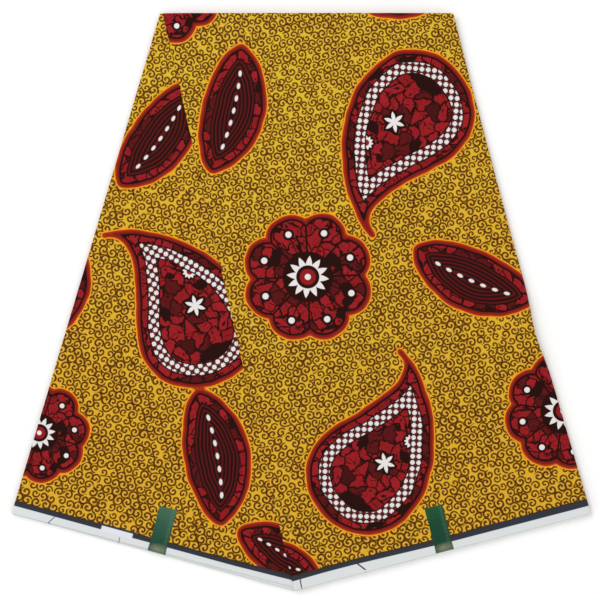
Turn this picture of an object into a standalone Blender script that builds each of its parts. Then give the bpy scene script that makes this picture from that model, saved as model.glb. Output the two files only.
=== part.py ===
"""A folded length of wax print cotton, lying flat.

The cloth is pleated into leaves as wide as TOP_WIDTH and doubled over its top fold.
Its leaves are fanned apart into a left and a right stack that share the top edge and
meet at a point at the bottom, so the front shows two stretches: the left leaf, and the
right leaf that laps over it along the front fold. Under the front fold the cloth turns
back as far as a hidden fold, like a dart that closes at the bottom point.

Metres, +Z up. X runs to the right, Y towards the top fold. The origin is in the middle
of the footprint, on the surface that the cloth lies on.
"""

import math

import bmesh
import bpy
import numpy as np

# Folded size, seen from above
TOP_WIDTH = 0.305
LEFT_SPREAD = 0.155
RIGHT_SPREAD = 0.144
SIDE_DROP = 0.5215
POINT_DROP = 0.602
POINT_FROM_LEFT = 0.140
DART_ANGLE = math.radians(14.85)
FOLD_START = 0.003
DART_END = 0.006

# Right edge: a shallow inward bow, and a tuck where the edge lifts and pulls in
BOW = 0.0030
TUCK_PLACE = 0.637
TUCK_DEPTH = 0.0038
TUCK_REACH = 0.058

# Cloth wall, and the clearance between two pieces that lie on each other
WALL = 0.0010
GAP = 0.0003
LAYER = WALL + GAP
NOSE = 0.0005

# Hidden leaves: how high each stack is, and how softly the cloth falls over its edge
LEFT_STACK = 0.0045
RIGHT_STACK = 0.0034
STACK_FALL = 0.034
DART_RISE = 2 * LAYER

# Edge of the hidden leaves: rounded folds one above the other, ply ends at the bottom
EDGE_FOLDS = 3
FOLD_ROUND = 0.0011
FOLD_POINTS = 4
PLY_STEP = 0.0006
SELVEDGE_SHORT = 0.0018

# Grid of the whole front: rows from the top fold to the selvedge, columns by stretch
# Columns crowd towards the folds by a power of their share of the stretch.
ROWS = 30
LEFT_COLUMNS = 8
DART_COLUMNS = 6
RIGHT_COLUMNS = 11
CROWDING = 1.35
ARC_STEPS = 4

# Long shallow swells of the folded cloth: place down (0 top, 1 bottom), place across
# (0 left edge, 1 right edge), half length, half width, height
SWELLS = (
    (TUCK_PLACE, 1.00, 0.050, 0.030, 0.0032),
    (0.16, 0.55, 0.090, 0.130, 0.0010),
    (0.47, 0.62, 0.045, 0.150, -0.0008),
    (0.70, 0.22, 0.120, 0.060, 0.0007),
    (0.78, 0.80, 0.090, 0.070, 0.0006),
)

# Adhesive labels on the selvedge. The place runs from 0 at the side corner to 1 at the
# bottom point.
LABEL_WIDTH = 0.0187
LABEL_LENGTH = 0.0480
LABEL_WALL = 0.0006
LABEL_COLUMNS = 4
LABEL_ROWS = 7
LABEL_PLACES = {"left_label": 0.511, "right_label": 0.492}

HALF_WIDTH = (LEFT_SPREAD + TOP_WIDTH + RIGHT_SPREAD) / 2
HALF_DROP = POINT_DROP / 2
TOP_LEFT = np.array([LEFT_SPREAD - HALF_WIDTH, HALF_DROP])
TOP_RIGHT = TOP_LEFT + [TOP_WIDTH, 0]
LEFT_CORNER = np.array([-HALF_WIDTH, HALF_DROP - SIDE_DROP])
RIGHT_CORNER = np.array([HALF_WIDTH, HALF_DROP - SIDE_DROP])
FOLD_TOP = TOP_LEFT + [FOLD_START, 0]
POINT = np.array([TOP_LEFT[0] + POINT_FROM_LEFT, -HALF_DROP])
FOLD_COLUMN = LEFT_COLUMNS
HIDDEN_COLUMN = LEFT_COLUMNS + DART_COLUMNS
LEAF_END = 1 - SELVEDGE_SHORT / POINT_DROP


def unit(vectors):
    return vectors / np.linalg.norm(vectors, axis=-1, keepdims=True)


def between(start, end, amount):
    """Straight line from start to end, start + amount x (end - start)."""
    amount = np.asarray(amount, float)[..., None]
    return np.asarray(start) + amount * (np.asarray(end) - np.asarray(start))


def smooth_step(value, soft):
    """0 below -soft, 1 above soft, and the cubic 3t^2 - 2t^3 between them."""
    t = np.clip((value + soft) / (2 * soft), 0, 1)
    return t * t * (3 - 2 * t)


def distance_right_of(points, start, end):
    """Signed distance of points from a line, positive on its right hand."""
    along = unit(end - start)
    offset = points - start
    return offset[..., 0] * along[1] - offset[..., 1] * along[0]


def left_edge(down):
    return between(TOP_LEFT, LEFT_CORNER, down)


def front_fold(down):
    """The fold that shows, from beside the top left corner to the bottom point."""
    return between(FOLD_TOP, POINT, down)


def hidden_fold(down):
    """The fold under the right leaf, turned from the front fold by the dart's angle."""
    lean = math.atan2(FOLD_TOP[0] - POINT[0], POINT_DROP) + DART_ANGLE
    top = POINT + [POINT_DROP * math.tan(lean), POINT_DROP]
    bottom = POINT + DART_END * unit(RIGHT_CORNER - POINT)
    return between(top, bottom, down)


def right_edge(down):
    """A straight edge, less a half sine for the bow and a bell curve for the tuck."""
    down = np.asarray(down, float)
    tuck = TUCK_DEPTH * np.exp(-(((down - TUCK_PLACE) / TUCK_REACH) ** 2))
    inset = BOW * np.sin(np.pi * down) + tuck
    return between(TOP_RIGHT, RIGHT_CORNER, down) - np.stack([inset, 0 * inset], axis=-1)


def front_grid(last_row):
    """Points of the whole front, rows x columns, ruled between the four long lines."""
    down = np.linspace(0, 1, ROWS + 1)
    down[-1] = last_row
    left_shares = 1 - np.linspace(1, 0, LEFT_COLUMNS + 1) ** CROWDING
    dart_shares = np.linspace(0, 1, DART_COLUMNS + 1)
    right_shares = np.linspace(0, 1, RIGHT_COLUMNS + 1) ** CROWDING
    stretches = (
        (left_edge, front_fold, left_shares[:-1]),
        (front_fold, hidden_fold, dart_shares[:-1]),
        (hidden_fold, right_edge, right_shares),
    )
    columns = [
        between(start(down)[:, None], end(down)[:, None], np.tile(shares, (ROWS + 1, 1)))
        for start, end, shares in stretches
    ]
    return np.concatenate(columns, axis=1)


def stack_height(points):
    """Height of the hidden leaves' top under each point.

    Each stack adds its height inside its own inner edge, with a soft step there, and
    each swell adds a bell curve of the distance from its centre.
    """
    over_left = smooth_step(-distance_right_of(points, POINT, TOP_RIGHT), STACK_FALL)
    over_right = smooth_step(distance_right_of(points, POINT, TOP_LEFT), STACK_FALL)
    height = LEFT_STACK * over_left + RIGHT_STACK * over_right
    for down, across, half_length, half_width, rise in SWELLS:
        offset = points - between(left_edge(down), right_edge(down), across)
        bell = (offset[..., 0] / half_width) ** 2 + (offset[..., 1] / half_length) ** 2
        height = height + rise * np.exp(-bell)
    return height


def raised(points, height):
    """Points in plan with their height added."""
    return np.concatenate([points, np.broadcast_to(height, points.shape[:-1])[..., None]], -1)


def cloth_material(name, colour, roughness):
    material = bpy.data.materials.new(name)
    material.use_nodes = True
    shader = material.node_tree.nodes["Principled BSDF"]
    shader.inputs["Base Color"].default_value = (*colour, 1)
    shader.inputs["Roughness"].default_value = roughness
    shader.inputs["Metallic"].default_value = 0.0
    return material


def add_object(name, points, faces, material):
    """One closed solid from its points and faces, with its faces turned outwards."""
    mesh = bpy.data.meshes.new(name)
    mesh.from_pydata([tuple(point) for point in points], [], faces)
    work = bmesh.new()
    work.from_mesh(mesh)
    bmesh.ops.recalc_face_normals(work, faces=work.faces)
    work.to_mesh(mesh)
    work.free()
    mesh.materials.append(material)
    mesh.shade_smooth()
    mesh.set_sharp_from_angle(angle=math.radians(40))
    part = bpy.data.objects.new(name, mesh)
    bpy.context.collection.objects.link(part)
    return part


def grid_faces(numbers):
    """Quads of a grid of vertex numbers."""
    corners = (numbers[:-1, :-1], numbers[:-1, 1:], numbers[1:, 1:], numbers[1:, :-1])
    return np.stack(corners, axis=-1).reshape(-1, 4).tolist()


def border(grid):
    """The grid's outermost entries, once round, starting along the first row."""
    return np.concatenate([grid[0, :-1], grid[:-1, -1], grid[-1, :0:-1], grid[:0:-1, 0]])


def ring_faces(upper, lower):
    """Quads between two closed rings of vertex numbers."""
    return np.stack([upper, np.roll(upper, -1), np.roll(lower, -1), lower], -1).tolist()


def drawn_in(grid, amount):
    """The grid with its outermost points moved towards their inner neighbours."""
    inner = grid.copy()
    for target, neighbour in ((0, 1), (-1, -2)):
        inner[target] += amount * unit(grid[neighbour] - grid[target])
        inner[:, target] += amount * unit(grid[:, neighbour] - grid[:, target])
    return inner


def sheet_solid(name, outer, inner, material):
    """A wall between two grids of points, with a rounded nose all round its edge."""
    count = outer.shape[0] * outer.shape[1]
    numbers = np.arange(count).reshape(outer.shape[:2])
    nose = border((outer + inner) / 2)
    ring = 2 * count + np.arange(len(nose))
    points = np.concatenate(
        [drawn_in(outer, NOSE).reshape(-1, 3), drawn_in(inner, NOSE).reshape(-1, 3), nose]
    )
    faces = grid_faces(numbers) + grid_faces(numbers + count)
    faces += ring_faces(border(numbers), ring) + ring_faces(ring, border(numbers) + count)
    return add_object(name, points, faces, material)


def inward(loop):
    """Direction at each point of a closed loop that moves both its edges in by one."""
    edges = np.roll(loop, -1, axis=0) - loop
    normals = unit(np.stack([edges[:, 1], -edges[:, 0]], axis=-1))
    before = np.roll(normals, 1, axis=0)
    middle = unit(normals + before)
    return middle / np.clip((middle * normals).sum(-1, keepdims=True), 0.5, 1)


def fold_profile():
    """Height share, inset and ply-end count of each ring down the stack's edge.

    Every fold is half an ellipse: its inset is 1 - cosine, its height the sine.
    """
    rings = []
    for fold in range(EDGE_FOLDS):
        for step in range(FOLD_POINTS + 1):
            angle = math.pi * (0.5 - (step + 1) / (FOLD_POINTS + 1))
            share = 1 - (fold + 0.5 - math.sin(angle) / 2) / EDGE_FOLDS
            rings.append((share, FOLD_ROUND * (1 - math.cos(angle)), EDGE_FOLDS - 1 - fold))
    return rings


def make_inner_folds(material):
    """The hidden leaves of both stacks as one body, with ridged edges and a flat base."""
    plan = front_grid(1)
    height = stack_height(plan)
    height[:, HIDDEN_COLUMN + 1 :] += DART_RISE
    loop = border(plan)
    direction = inward(loop)
    on_selvedge = border(np.arange(ROWS + 1)[:, None] + 0 * height) == ROWS
    edge_height = border(height)

    def ring(share, inset, ply_ends):
        """The outline drawn in, and further at the bottom for the shorter upper plies."""
        amount = inset + PLY_STEP * ply_ends * on_selvedge
        return raised(loop + direction * amount[:, None], edge_height * share)

    numbers = np.arange(height.size).reshape(height.shape)
    top = raised(plan, height).reshape(-1, 3)
    top[border(numbers)] = ring(1, FOLD_ROUND, EDGE_FOLDS - 1)
    points, faces, above = [top], grid_faces(numbers), border(numbers)
    for share, inset, ply_ends in fold_profile():
        below = sum(len(part) for part in points) + np.arange(len(loop))
        points.append(ring(share, inset, ply_ends))
        faces += ring_faces(above, below)
        above = below
    faces.append(above.tolist())
    return add_object("inner_folds", np.concatenate(points), faces, material)


def leaf_surface(plan, level):
    """Plan points at a level above the hidden leaves."""
    return raised(plan, stack_height(plan) + level)


def make_left_leaf(material):
    """The left stretch, from its outer fold to the hidden fold under the right leaf."""
    plan = front_grid(LEAF_END)[:, : HIDDEN_COLUMN + 1]
    lower = leaf_surface(plan, GAP)
    return sheet_solid("left_leaf", lower + [0, 0, WALL], lower, material)


def make_right_leaf(material):
    """The right stretch: its top ply, the hairpin at the front fold and the dart's ply.

    Stations run from the right edge to the front fold, round a half circle, and back
    under to the hidden fold. The outer side starts as the front of the cloth.
    """
    plan = front_grid(LEAF_END)[:, FOLD_COLUMN:]
    middle_radius = LAYER / 2
    along_row = unit(plan[:, 1] - plan[:, 0])
    plan[:, 0] += (middle_radius + WALL / 2) * along_row
    top = leaf_surface(plan[:, ::-1], GAP + DART_RISE + WALL / 2)
    under = leaf_surface(plan[:, : DART_COLUMNS + 1], GAP + LAYER + WALL / 2)
    centre = (top[:, -1] + under[:, 0]) / 2
    turn = (np.pi * np.arange(1, ARC_STEPS) / ARC_STEPS)[None, :, None]
    up = np.array([0, 0, 1.0])
    outward = np.cos(turn) * up - np.sin(turn) * raised(along_row, 0)[:, None]
    middle = np.concatenate([top, centre[:, None] + middle_radius * outward, under], axis=1)
    facing = np.concatenate([0 * top + up, outward, 0 * under - up], axis=1)
    half_wall = facing * WALL / 2
    return sheet_solid("right_leaf", middle + half_wall, middle - half_wall, material)


def make_label(name, corner, leaf_level, material):
    """A strip laid up the leaf from the selvedge, its end turned down over the edge.

    The path runs down the leaf at a constant height, round a quarter circle past the
    cut edge, and down by the thickness of the leaf.
    """
    along = unit(POINT - corner) * np.sign(POINT[0] - corner[0])
    up_leaf = np.array([-along[1], along[0]])
    foot = between(corner, POINT, LABEL_PLACES[name]) + SELVEDGE_SHORT * up_leaf
    across = np.linspace(-0.5, 0.5, LABEL_COLUMNS + 1) * LABEL_WIDTH
    length = np.append(np.linspace(LABEL_LENGTH, 0, LABEL_ROWS + 1), [0, 0])
    turn = np.append(np.zeros(LABEL_ROWS + 1), np.radians([45, 90]))
    layers = []
    for clearance in (GAP + LABEL_WALL, GAP):
        on_leaf = foot + length[:, None, None] * up_leaf + across[None, :, None] * along
        plan = on_leaf - (clearance * np.sin(turn))[:, None, None] * up_leaf
        level = leaf_level + WALL + clearance * np.cos(turn)
        strip = raised(plan, stack_height(on_leaf) + level[:, None])
        layers.append(np.concatenate([strip, strip[-1:] - [0, 0, WALL]]))
    return sheet_solid(name, layers[0], layers[1], material)


def main():
    for old in list(bpy.data.objects):
        bpy.data.objects.remove(old, do_unlink=True)
    folds = cloth_material("hidden_cotton_folds", (0.55, 0.34, 0.06), 0.85)
    print_left = cloth_material("printed_cotton_left", (0.64, 0.40, 0.05), 0.75)
    print_right = cloth_material("printed_cotton_right", (0.68, 0.43, 0.05), 0.75)
    foil = cloth_material("green_label_foil", (0.02, 0.10, 0.06), 0.35)
    make_inner_folds(folds)
    make_left_leaf(print_left)
    make_right_leaf(print_right)
    make_label("left_label", LEFT_CORNER, GAP, foil)
    make_label("right_label", RIGHT_CORNER, GAP + DART_RISE, foil)


main()
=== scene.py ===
"""Looks of a folded length of wax print cotton, lying flat on a pale floor.

The cloth shows two stretches, a left leaf and a right leaf that laps over it, above the
ridged folds and ply ends of the hidden leaves. Two foil labels sit on the selvedge.
All lengths are metres in the frame of the solids. Print sizes are millimetres of flat
cloth, measured from the bottom point: along the selvedge, and up from it.
"""

import functools
import itertools
import math

import bpy
import numpy as np
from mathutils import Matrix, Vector


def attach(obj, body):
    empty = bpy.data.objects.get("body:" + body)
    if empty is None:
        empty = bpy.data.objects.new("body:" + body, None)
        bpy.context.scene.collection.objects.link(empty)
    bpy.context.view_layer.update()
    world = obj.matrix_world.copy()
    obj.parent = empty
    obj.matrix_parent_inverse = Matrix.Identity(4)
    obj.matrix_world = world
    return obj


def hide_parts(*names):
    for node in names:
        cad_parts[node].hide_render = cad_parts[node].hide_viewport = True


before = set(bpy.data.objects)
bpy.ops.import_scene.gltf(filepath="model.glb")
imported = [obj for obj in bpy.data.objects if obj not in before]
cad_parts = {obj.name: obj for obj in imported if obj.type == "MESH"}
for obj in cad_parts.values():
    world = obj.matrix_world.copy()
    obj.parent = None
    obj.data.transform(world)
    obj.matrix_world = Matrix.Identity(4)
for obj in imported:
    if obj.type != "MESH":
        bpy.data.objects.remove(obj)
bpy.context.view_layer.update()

# Folded size, as the solids have it
TOP_WIDTH = 0.305
LEFT_SPREAD = 0.155
RIGHT_SPREAD = 0.144
SIDE_DROP = 0.5215
POINT_DROP = 0.602
POINT_FROM_LEFT = 0.140
DART_ANGLE = math.radians(14.85)
FOLD_START = 0.003
DART_END = 0.006
BOW = 0.0030
TUCK_PLACE = 0.637
TUCK_DEPTH = 0.0038
TUCK_REACH = 0.058
LEFT_STACK = 0.0045
RIGHT_STACK = 0.0034
STACK_FALL = 0.034
DART_RISE = 0.0026
SELVEDGE_SHORT = 0.0018
# Swells of the stacks: place down and across, half length, half width, rise
SWELLS = (
    (TUCK_PLACE, 1.00, 0.050, 0.030, 0.0032),
    (0.16, 0.55, 0.090, 0.130, 0.0010),
    (0.47, 0.62, 0.045, 0.150, -0.0008),
    (0.70, 0.22, 0.120, 0.060, 0.0007),
    (0.78, 0.80, 0.090, 0.070, 0.0006),
)

# One ply of cotton, drawn a little thicker than its 0.33 mm so that its edges read
PLY = 0.0004
EDGE_ROUND = 0.0009
LEFT_TOP = 0.0012
RIGHT_TOP = 0.0036
FOLD_TOP_LEVEL = 0.0026
UNDER_LEVEL = 0.0015
FOLD_DIP_REACH = 0.011

# Soft creases: start and end as place down and across, half width, height
CREASES = (
    (0.02, 0.10, 0.93, 0.36, 0.0090, 0.00030),
    (0.03, 0.40, 0.90, 0.58, 0.0150, -0.00028),
    (0.05, 0.74, 0.97, 0.83, 0.0120, 0.00026),
    (0.30, 0.10, 0.96, 0.16, 0.0110, 0.00026),
    (0.64, 0.99, 0.55, 0.78, 0.0060, 0.00045),
    (0.67, 0.99, 0.69, 0.74, 0.0055, -0.00040),
    (0.61, 0.99, 0.46, 0.86, 0.0060, -0.00030),
    (0.48, 0.02, 0.52, 0.30, 0.0090, -0.00022),
    (0.49, 0.52, 0.47, 0.97, 0.0100, -0.00030),
    (0.86, 0.62, 0.90, 0.92, 0.0080, 0.00022),
)
# A crease wanders off its line by a sine: its height, radians along the line, and start
CREASE_WANDER = (0.006, 5, 9)

# Waves of the selvedge: millimetres in a radian, share of the height, turns of the start
RIPPLE_WAVES = ((17.0, 1.0, 1), (7.3, 0.7, 2))
RIPPLE_HEIGHT = 0.00016
RIPPLE_REACH = 12.0
LEFT_RIPPLE = 0.4
RIGHT_RIPPLE = 2.1

LEAF_ROWS = 210
LEAF_COLUMNS = 112
UNDER_COLUMNS = 24
UNDER_CROWDING = 1.4
FOLD_ARC_STEPS = 9
EDGE_SHARES = (0, 0.08, 0.3, 0.62, 1.0)
LAST_ROW_GAP = 0.0006
# Degrees past which an edge is drawn sharp
SHEET_SHARP = 50
HAIRPIN_SHARP = 75
STACK_SHARP = 80

# Hidden leaves: folds at the sides and top, ply ends at the bottom
SIDE_FOLDS = 7
PLY_ENDS = 14
RINGS = 70
STACK_ROWS = 104
STACK_COLUMNS = 56
FOLD_DEPTH = 0.0015
END_DEPTH = 0.0006
END_STEP = 0.0012
FOLD_DRIFT = 0.0010
END_DRIFT = 0.0007
DRIFT_FADE = 0.4
# Waves round the edge, and the radians that they turn on every fold, or down the edge
DRIFT_WAVES = ((9, 2.4), (23, 1.3))
WOBBLE_WAVES = (13, 4)
FOLD_WOBBLE = 0.22
DART_BEHIND = 0.010
DART_SOFT = 0.008
# Millimetres that the print runs on round one fold, and its jump from fold to fold
FOLD_GIRTH = 3.0
PRINT_JUMP = (61, 47)
WHITE_BAND = (0, 2)

LABEL_WIDTH = 0.0187
LABEL_LENGTH = 0.0480
LABEL_FOIL = 0.00014
LABEL_LIFT = 0.00025
LABEL_FALLS = (0.0003, 0.0007)
LABEL_WEAR = 0.0018
WEAR_WAVES = (310, 1.2)
WEAR_START = 0.4
LABEL_CRINKLE = 0.00009
# Both sines of the crinkles: radians up the label, across it and at its foot
CRINKLE_WAVES = ((19, 5, 0), (-4, 17, 1))
CRINKLE_SHARES = (0.35, 1.3)
LABEL_ROWS = 91
LABEL_COLUMNS = 37
LABEL_TURN_STEPS = 8
LABEL_PLACES = {"left": 0.511, "right": 0.492}

# Bands of the map for baking, from and to: front and back of a sheet, whose rim runs
# between them, and top and base of the stack. Sides of the stack have a band each.
BAKE_LOW = 0.005
BAKE_HIGH = 0.995
SHEET_FRONT = (0.13, BAKE_HIGH)
SHEET_BACK = (BAKE_LOW, 0.105)
SHEET_RIM = [0.122, 0.122, 0.112, 0.112]
STACK_TOP = (0.93, BAKE_HIGH)
STACK_BASE = (0.50, 0.92)
STACK_BAND = 0.122
BAND_GAP = 0.007
# The right leaf's under ply ends, and its top ply starts, at these shares across
UNDER_SHARES = (0.07, 0.08)

HALF_WIDTH = (LEFT_SPREAD + TOP_WIDTH + RIGHT_SPREAD) / 2
HALF_DROP = POINT_DROP / 2
TOP_LEFT = np.array([LEFT_SPREAD - HALF_WIDTH, HALF_DROP])
TOP_RIGHT = TOP_LEFT + [TOP_WIDTH, 0]
LEFT_CORNER = np.array([-HALF_WIDTH, HALF_DROP - SIDE_DROP])
RIGHT_CORNER = np.array([HALF_WIDTH, HALF_DROP - SIDE_DROP])
FOLD_TOP = TOP_LEFT + [FOLD_START, 0]
POINT = np.array([TOP_LEFT[0] + POINT_FROM_LEFT, -HALF_DROP])
LEAF_END = 1 - SELVEDGE_SHORT / POINT_DROP

# Print colours
# Ground and ink each run from their first colour at the top to their second low on the cloth:
# print colour with painted glare paler towards the top, plus patchy dye tone
GROUND_YELLOW = "#D2B02A"
GROUND_ORANGE = "#D4A524"
GROUND_TAN = "#D09C46"
HALO_ORANGE = "#E39A1C"
INK_BROWN = "#501E00"
INK_BLACK = "#451B00"
CRIMSON = "#8A171C"
BRIGHT_RED = "#961B22"
MAROON = "#581113"
DARK = "#240A06"
CHALK = "#DFDAD8"
NAVY = "#30343E"
NAVY_EDGE = "#332C1C"
SELVEDGE_WHITE = "#D4D7D7"

# Noises: waves in a millimetre of cloth, or in a metre for the clouds, and detail
HAND_NOISE = (0.04, 1.0)
DYE_NOISE = (0.006, 2.0)
INK_NOISE = (0.5, 2.0)
PATCH_NOISE = (0.07, 2.0)
VEIN_NOISE = (0.13, 1.0)
NAVY_NOISE = (0.16, 2.0)
SLUB_NOISE = (0.12, 4.0)
FLECK_NOISE = (1.1, 3.0)
CREASE_NOISE = (0.35, 3.0)
CLOUD_NOISE = (70.0, 4.0, 0.55)

# Fades: two values of what is measured, and the strengths that they get. The ground and
# ink are deeper and more orange low on the cloth and paler towards the top fold, which is
# painted glare. A curl's middle is tan.
GLARE_FADE = (560.0, 40.0, -0.4, 0.6)
TAN_FADE = (2.4, 4.4, 0.4, 0.0)
HALO_FADE = (4.2, 7.4, 0.9, 0.0)
INK_WEAR = (0.3, 0.6, 0.86, 1.0)
COTTON_ROUGHNESS = (0.3, 0.7, 0.58, 0.68)
FOIL_ROUGHNESS = (0.3, 0.7, 0.3, 0.46)

# Small curls that fill the ground, smaller towards the top fold
CURL_PITCH = 8.6
CURL_JITTER = 0.2
CURL_SIZES = (0.9, 1.17)
CURL_SHRINKS = (0.0, 560.0)
CURL_SCALES = (0.9, 1.02)
CURL_RADIUS = 3.85
CURL_POWER = 0.55
CURL_TURNS = 1.14
CURL_HALF_LINE = 0.95
# Share of that width along the line: a ball at its start, then even, then a thin tail
CURL_ENDS = (0.1, 0.9)
CURL_WIDTHS = (
    (0.05, "#000000"), (0.1, "#FFFFFF"), (0.2, "#EBEBEB"), (0.6, "#F8F8F8"),
    (0.86, "#E4E4E4"), (0.9, "#000000"),
)
LEAST_WIDTH = 0.1
CURL_FREE = 4.4
INK_BLEED = 0.32
# Waver of the hand-cut block, in millimetres
CURL_WAVER = (2.5, 2.5, 0)
OUTLINE_WAVER = 3.0

# Outlines of a motif from its outside in: limit of each, and its paint
RIMS = ((3.2, "#A32B0E"), (1.4, "#7C1A17"), (-0.9, DARK))
RIM_INSIDE = -3.0

# Crackle: shares of the patches and their dyes
PATCH_PITCH = 13.0
PATCH_BEND = (15, 15, 0)
PATCH_DYES = (
    (0.13, DARK), (0.15, MAROON), (0.36, MAROON), (0.38, CRIMSON), (0.8, BRIGHT_RED),
)
CRACK_HALF_LINE = 1.0
VEIN_FADE = (0.008, 0.022, 1.0, 0.0)

# Cotton thread, drawn four times as coarse as its 0.3 mm so that it shows, in metres
WEAVE_PITCH = 0.0012
SLUB_HEIGHT = 6.0

# Selvedge, up from its cut edge: a white band, and the navy line. Its top is wavy, and it
# broadens to the right.
NAVY_FOOT = 7.9
NAVY_TOP = 12.4
NAVY_WAVE = 1.8
NAVY_BROADENS = (60.0, 300.0, 0.0, 2.0)
NAVY_BLEED = 1.3
CURLS_OVERLAP = 0.5
# The navy line lies higher near the bottom point, and less with the way from there
NAVY_SWELL_PLACE = 50.0
NAVY_SWELL = (18.0, 115.0, 2.2, 0.0)
# start, end, half width, paint: ticks of navy, and a blank white tab in a navy box
SELVEDGE_MARKS = (
    ((-260.9, 8.6), (-266.3, 0.2), 0.5, "#4A5876"),
    ((-190.6, 5.0), (-190.0, 0.0), 0.45, "#5A6272"),
    ((70.4, 10.8), (77.4, 1.9), 0.75, NAVY),
    ((9.2, 10.8), (8.2, 0.6), 0.6, NAVY),
    ((-213.0, 11.4), (-176.5, 11.4), 3.0, NAVY),
    ((-211.6, 9.3), (-178.0, 9.3), 2.9, "#D8DBE1"),
)

# Foil of the left and the right label, from the foot up, where it has pale flecks along one
# side, and the plain worn patch at its foot
LABEL_GREENS = (
    ((0.35, "#224737"), (0.68, "#2E5742"), (0.92, "#40644D")),
    ((0.35, "#183F2E"), (0.68, "#174530"), (0.92, "#21502F")),
)
GREEN_RISE = 0.8
GREEN_CLOUDS = 0.3
FLECK_BAND = 6.5
FLECK_REACH = 16.0
FLECK_FADE = (7.0, 9.5, 0.0, 0.3)
WORN_CENTRE = (0.3, 3.6, 0)
WORN_STRETCH = (0.46, 0.9, 0)
WORN_CLOUDS = 6.0
WORN_FADE = (3.2, 8.6, 0.78, 0.0)

# Camera, lamp and surroundings
VIEW_WIDTH = 0.624
VIEW_CENTRE = (-0.0013, 0.0029)
CAMERA_HEIGHT = 2.0
CLOTH_LEVEL = 0.008
WORLD_STRENGTH = 0.90
LAMP_WATTS = 22
LAMP_SIZE = 1.6
LAMP_PLACE = Vector((-1.1, 1.3, 2.2))
FLOOR_HALF = 3.0

# The printed design: kinds of motif, and what gives their outlines
SEED_POD, ROSETTE, MANGO_LEAF = 1, 2, 3
POD_HALF = (66, 30)
POD_BEND = 7
POD_POINTED = 0.35
ROSETTE_HALF = 62
PETAL_SWELL = 0.16
PETAL_ROUNDED = 0.7
MANGO_HALF = (104, 66)
MANGO_FULLNESS = 1.32
MANGO_TAPER = 1.7
TAIL_START = 30
# The tail's reaches back and round, and the powers of its share that they follow
TAIL_REACHES = ((34, 4), (72, 2.2))
# Inside a pod: its dark core, contour lines and seeds
POD_CORE = -9.0
POD_CONTOUR = 1.9
CONTOUR_HALF_LINE = 0.75
SEED_HALF_PITCH = 6.5
SEED_RADIUS = 1.7
SEED_STRETCH = (0.55, 1.0, 0)
SEED_ROW_HALF = 46.0
# Inside a rosette: its petals, the rings of their dots and of the hub, and the hub's star
# by its centre, points, tip and notch
PETALS = 8
PETAL_GAP = 1.0
PETAL_DOT = 46.0
PETAL_VEIN_END = 40.0
PETAL_VEIN_HALF = 0.6
DOT_RINGS = ((5.6, DARK), (3.1, CHALK))
HUB_RADIUS = 25.0
HUB_TEETH = ((0, 0, 0), 12, 21.0, 12.5)
HUB_RINGS = ((11.5, DARK), (8.0, CRIMSON), (3.0, CHALK))
# Inside a mango leaf: its lattice band, and such stars with their paint
MANGO_BAND = 15.5
MANGO_BAND_HALF = 5.4
MANGO_BAND_LINE = 6.8
LATTICE_PITCH = 6.6
LATTICE_BAR = 0.85
LATTICE_KNOT = 2.0
MANGO_STARS = (
    ((-22, -4, 0), 6, 14.5, 8.5, DARK),
    ((-22, -4, 0), 6, 11.0, 3.0, CHALK),
    ((14, -6, 0), 11, 10.0, 8.5, DARK),
    ((14, -6, 0), 11, 7.5, 5.2, CHALK),
    ((14, -6, 0), 11, 3.2, 3.2, CRIMSON),
)
# kind, along the selvedge, up from it, turn in degrees, size
MOTIFS = (
    (MANGO_LEAF, 205, 432, 205, 1.0),
    (SEED_POD, 62, 500, 62, 1.0),
    (ROSETTE, 96, 312, 10, 1.05),
    (SEED_POD, 262, 268, -38, 1.0),
    (MANGO_LEAF, 142, 118, 28, 0.98),
    (ROSETTE, 318, 110, 0, 0.95),
    (SEED_POD, -118, 112, 115, 1.05),
    (MANGO_LEAF, -192, 276, 118, 1.0),
    (SEED_POD, -318, 236, 84, 0.8),
    (ROSETTE, -300, 88, 20, 0.8),
    (SEED_POD, -262, 418, 70, 0.95),
    (SEED_POD, -20, 30, 160, 0.8),
    (ROSETTE, 30, 640, 0, 0.9),
    (SEED_POD, 290, 585, 20, 1.0),
)
# The design's repeat, where it starts, and the longest distance from a motif that is kept
REPEAT = (680, 720)
REPEAT_START = (-340, -40)
FAR = 30.0


def unit(vectors):
    """Vectors divided by their lengths."""
    return vectors / np.linalg.norm(vectors, axis=-1, keepdims=True)


def joined(*parts):
    """Arrays of single numbers as one array of points or quads."""
    return np.stack(parts, axis=-1)


def full_turn(count):
    """Even angles once round."""
    return np.linspace(0, 2 * np.pi, count, endpoint=False)


def between(start, end, amount):
    """Straight line from start to end, start + amount x (end - start)."""
    amount = np.asarray(amount, float)[..., None]
    return np.asarray(start) + amount * (np.asarray(end) - np.asarray(start))


def smooth_step(value, soft):
    """0 below -soft, 1 above soft, and the cubic 3t^2 - 2t^3 between them."""
    t = np.clip((value + soft) / (2 * soft), 0, 1)
    return t * t * (3 - 2 * t)


def right_of(points, start, end):
    """Signed distance of points from a line, positive on its right hand."""
    along = unit(end - start)
    offset = points - start
    return offset[..., 0] * along[1] - offset[..., 1] * along[0]


def left_edge(down):
    """The left stack's outer fold, a straight line."""
    return between(TOP_LEFT, LEFT_CORNER, down)


def front_fold(down):
    """The fold that shows, from beside the top left corner to the bottom point."""
    return between(FOLD_TOP, POINT, down)


def hidden_fold(down):
    """The fold under the right leaf, turned from the front fold by the dart's angle."""
    lean = math.atan2(FOLD_TOP[0] - POINT[0], POINT_DROP) + DART_ANGLE
    top = POINT + [POINT_DROP * math.tan(lean), POINT_DROP]
    bottom = POINT + DART_END * unit(RIGHT_CORNER - POINT)
    return between(top, bottom, down)


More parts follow.
